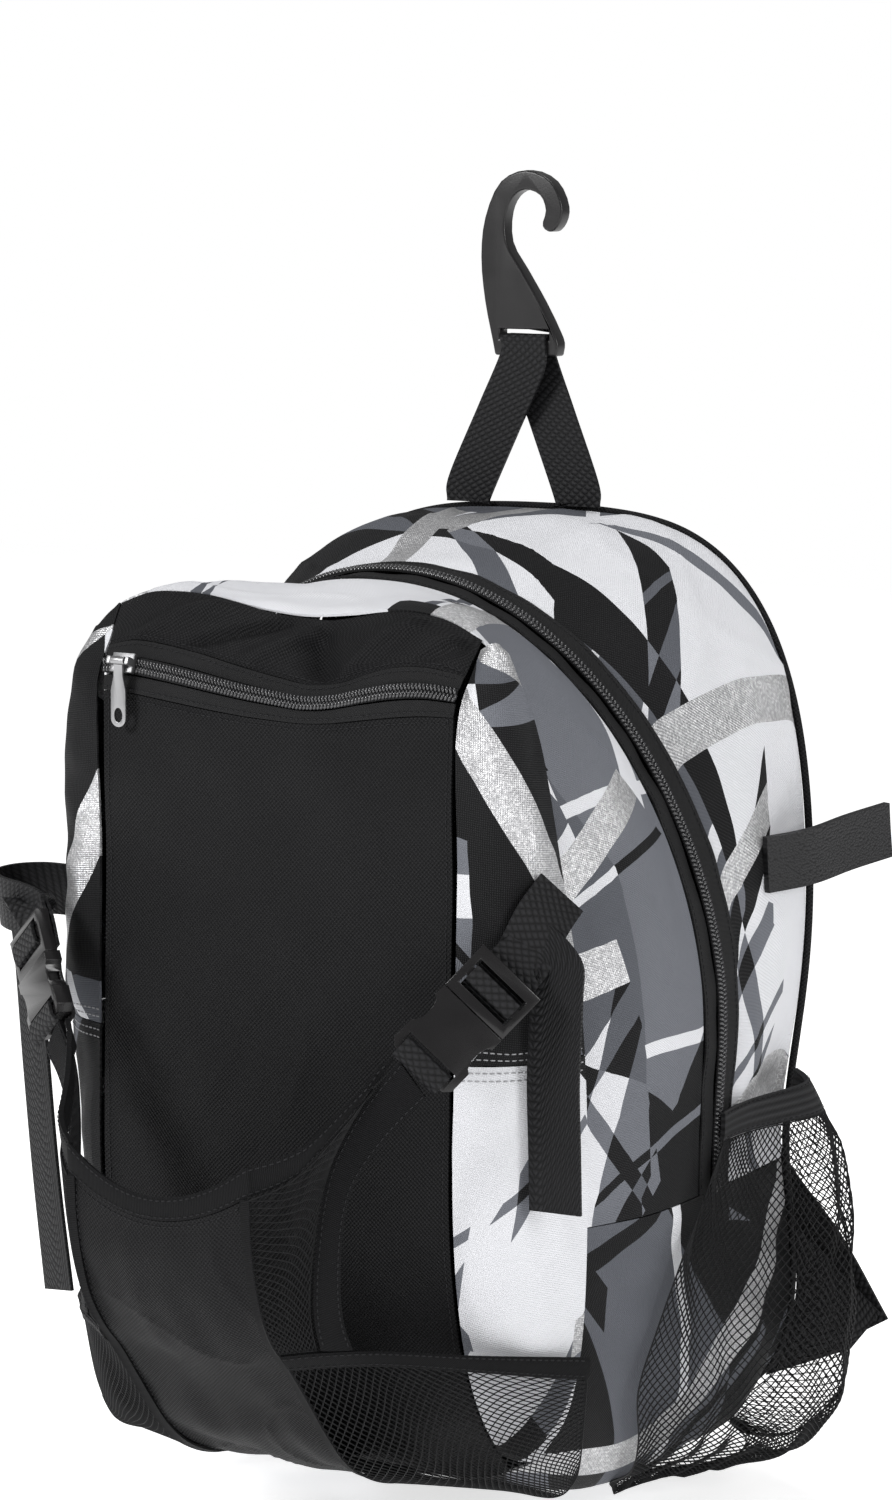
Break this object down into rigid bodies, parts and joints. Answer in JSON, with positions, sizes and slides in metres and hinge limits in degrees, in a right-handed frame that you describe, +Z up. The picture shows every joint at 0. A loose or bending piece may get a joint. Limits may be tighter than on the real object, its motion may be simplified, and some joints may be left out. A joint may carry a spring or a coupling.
{
  "type": "baseball bat backpack",
  "caption": "A child's black and grey baseball backpack with a glove sling, mesh side pockets, bat straps, padded shoulder straps and a fence hook on its top loop.",
  "frame": {"origin": "crown of the hook's mouth, in the middle of its thickness, where the bag hangs", "axes": "+Z up along the height of the hanging bag, -Y towards the front pocket and the glove sling, +X towards the right of a viewer who faces the front"},
  "size_m": [0.3768, 0.3867, 0.5997],
  "materials": {
    "printed_fabric": "woven polyester printed in greys with silver foil",
    "black_fabric": "coarse black oxford weave",
    "padded_fabric": "black fabric over foam",
    "mesh": "black knitted mesh",
    "ribbed_binding": "black ribbed tape",
    "zip_tape": "black coil zip on woven tape",
    "webbing": "coarse black webbing",
    "bat_strap": "hook-and-loop strip",
    "buckle_plastic": "dark glossy plastic",
    "hook_plastic": "satin charcoal plastic",
    "zip_metal": "satin nickel"
  },
  "bodies": {
    "bag": {"back_panel": "black_fabric", "back_piping": "ribbed_binding", "bat_strap_left": "bat_strap", "bat_strap_right": "bat_strap", "boot": "printed_fabric", "buckle_plug_left": "buckle_plastic", "buckle_plug_right": "buckle_plastic", "buckle_socket_left": "buckle_plastic", "buckle_socket_right": "buckle_plastic", "buckle_strap_left": "webbing", "buckle_strap_right": "webbing", "front_panel": "printed_fabric", "gusset": "printed_fabric", "hang_loop": "webbing", "hook": "hook_plastic", "lower_webbing_left": "webbing", "lower_webbing_right": "webbing", "main_zip_chain": "zip_tape", "main_zip_slider": "zip_metal", "pocket_face": "black_fabric", "pocket_lining": "black_fabric", "pocket_side_lower_left": "printed_fabric", "pocket_side_lower_right": "printed_fabric", "pocket_side_upper_left": "printed_fabric", "pocket_side_upper_right": "printed_fabric", "pocket_top": "black_fabric", "pocket_zip_chain": "zip_tape", "pocket_zip_slider": "zip_metal", "pocket_zip_tape_lower": "zip_tape", "pocket_zip_tape_upper": "zip_tape", "shoulder_strap_left": "padded_fabric", "shoulder_strap_right": "padded_fabric", "side_hem_left": "ribbed_binding", "side_hem_right": "ribbed_binding", "side_pocket_left": "mesh", "side_pocket_right": "mesh", "sling_lower_binding_left": "ribbed_binding", "sling_lower_binding_right": "ribbed_binding", "sling_middle": "black_fabric", "sling_rim_binding": "ribbed_binding", "sling_side_binding_left": "ribbed_binding", "sling_side_binding_right": "ribbed_binding", "sling_skirt_left": "mesh", "sling_skirt_right": "mesh", "sling_tab_left": "webbing", "sling_tab_right": "webbing", "sling_wing_left": "mesh", "sling_wing_right": "mesh", "strap_adjuster_left": "buckle_plastic", "strap_adjuster_right": "buckle_plastic", "strap_tab_left": "webbing", "strap_tab_right": "webbing", "zip_tape_front": "zip_tape", "zip_tape_rear": "zip_tape"},
    "zip_pull": {"pocket_zip_pull": "zip_metal"}
  },
  "joints": [
    {"name": "pull_hinge", "type": "hinge", "parent": "bag", "child": "zip_pull", "pos_m": [-0.0754, -0.22956, -0.20734], "axis": [-1, 0, 0], "range_deg": [0, 150]}
  ]
}
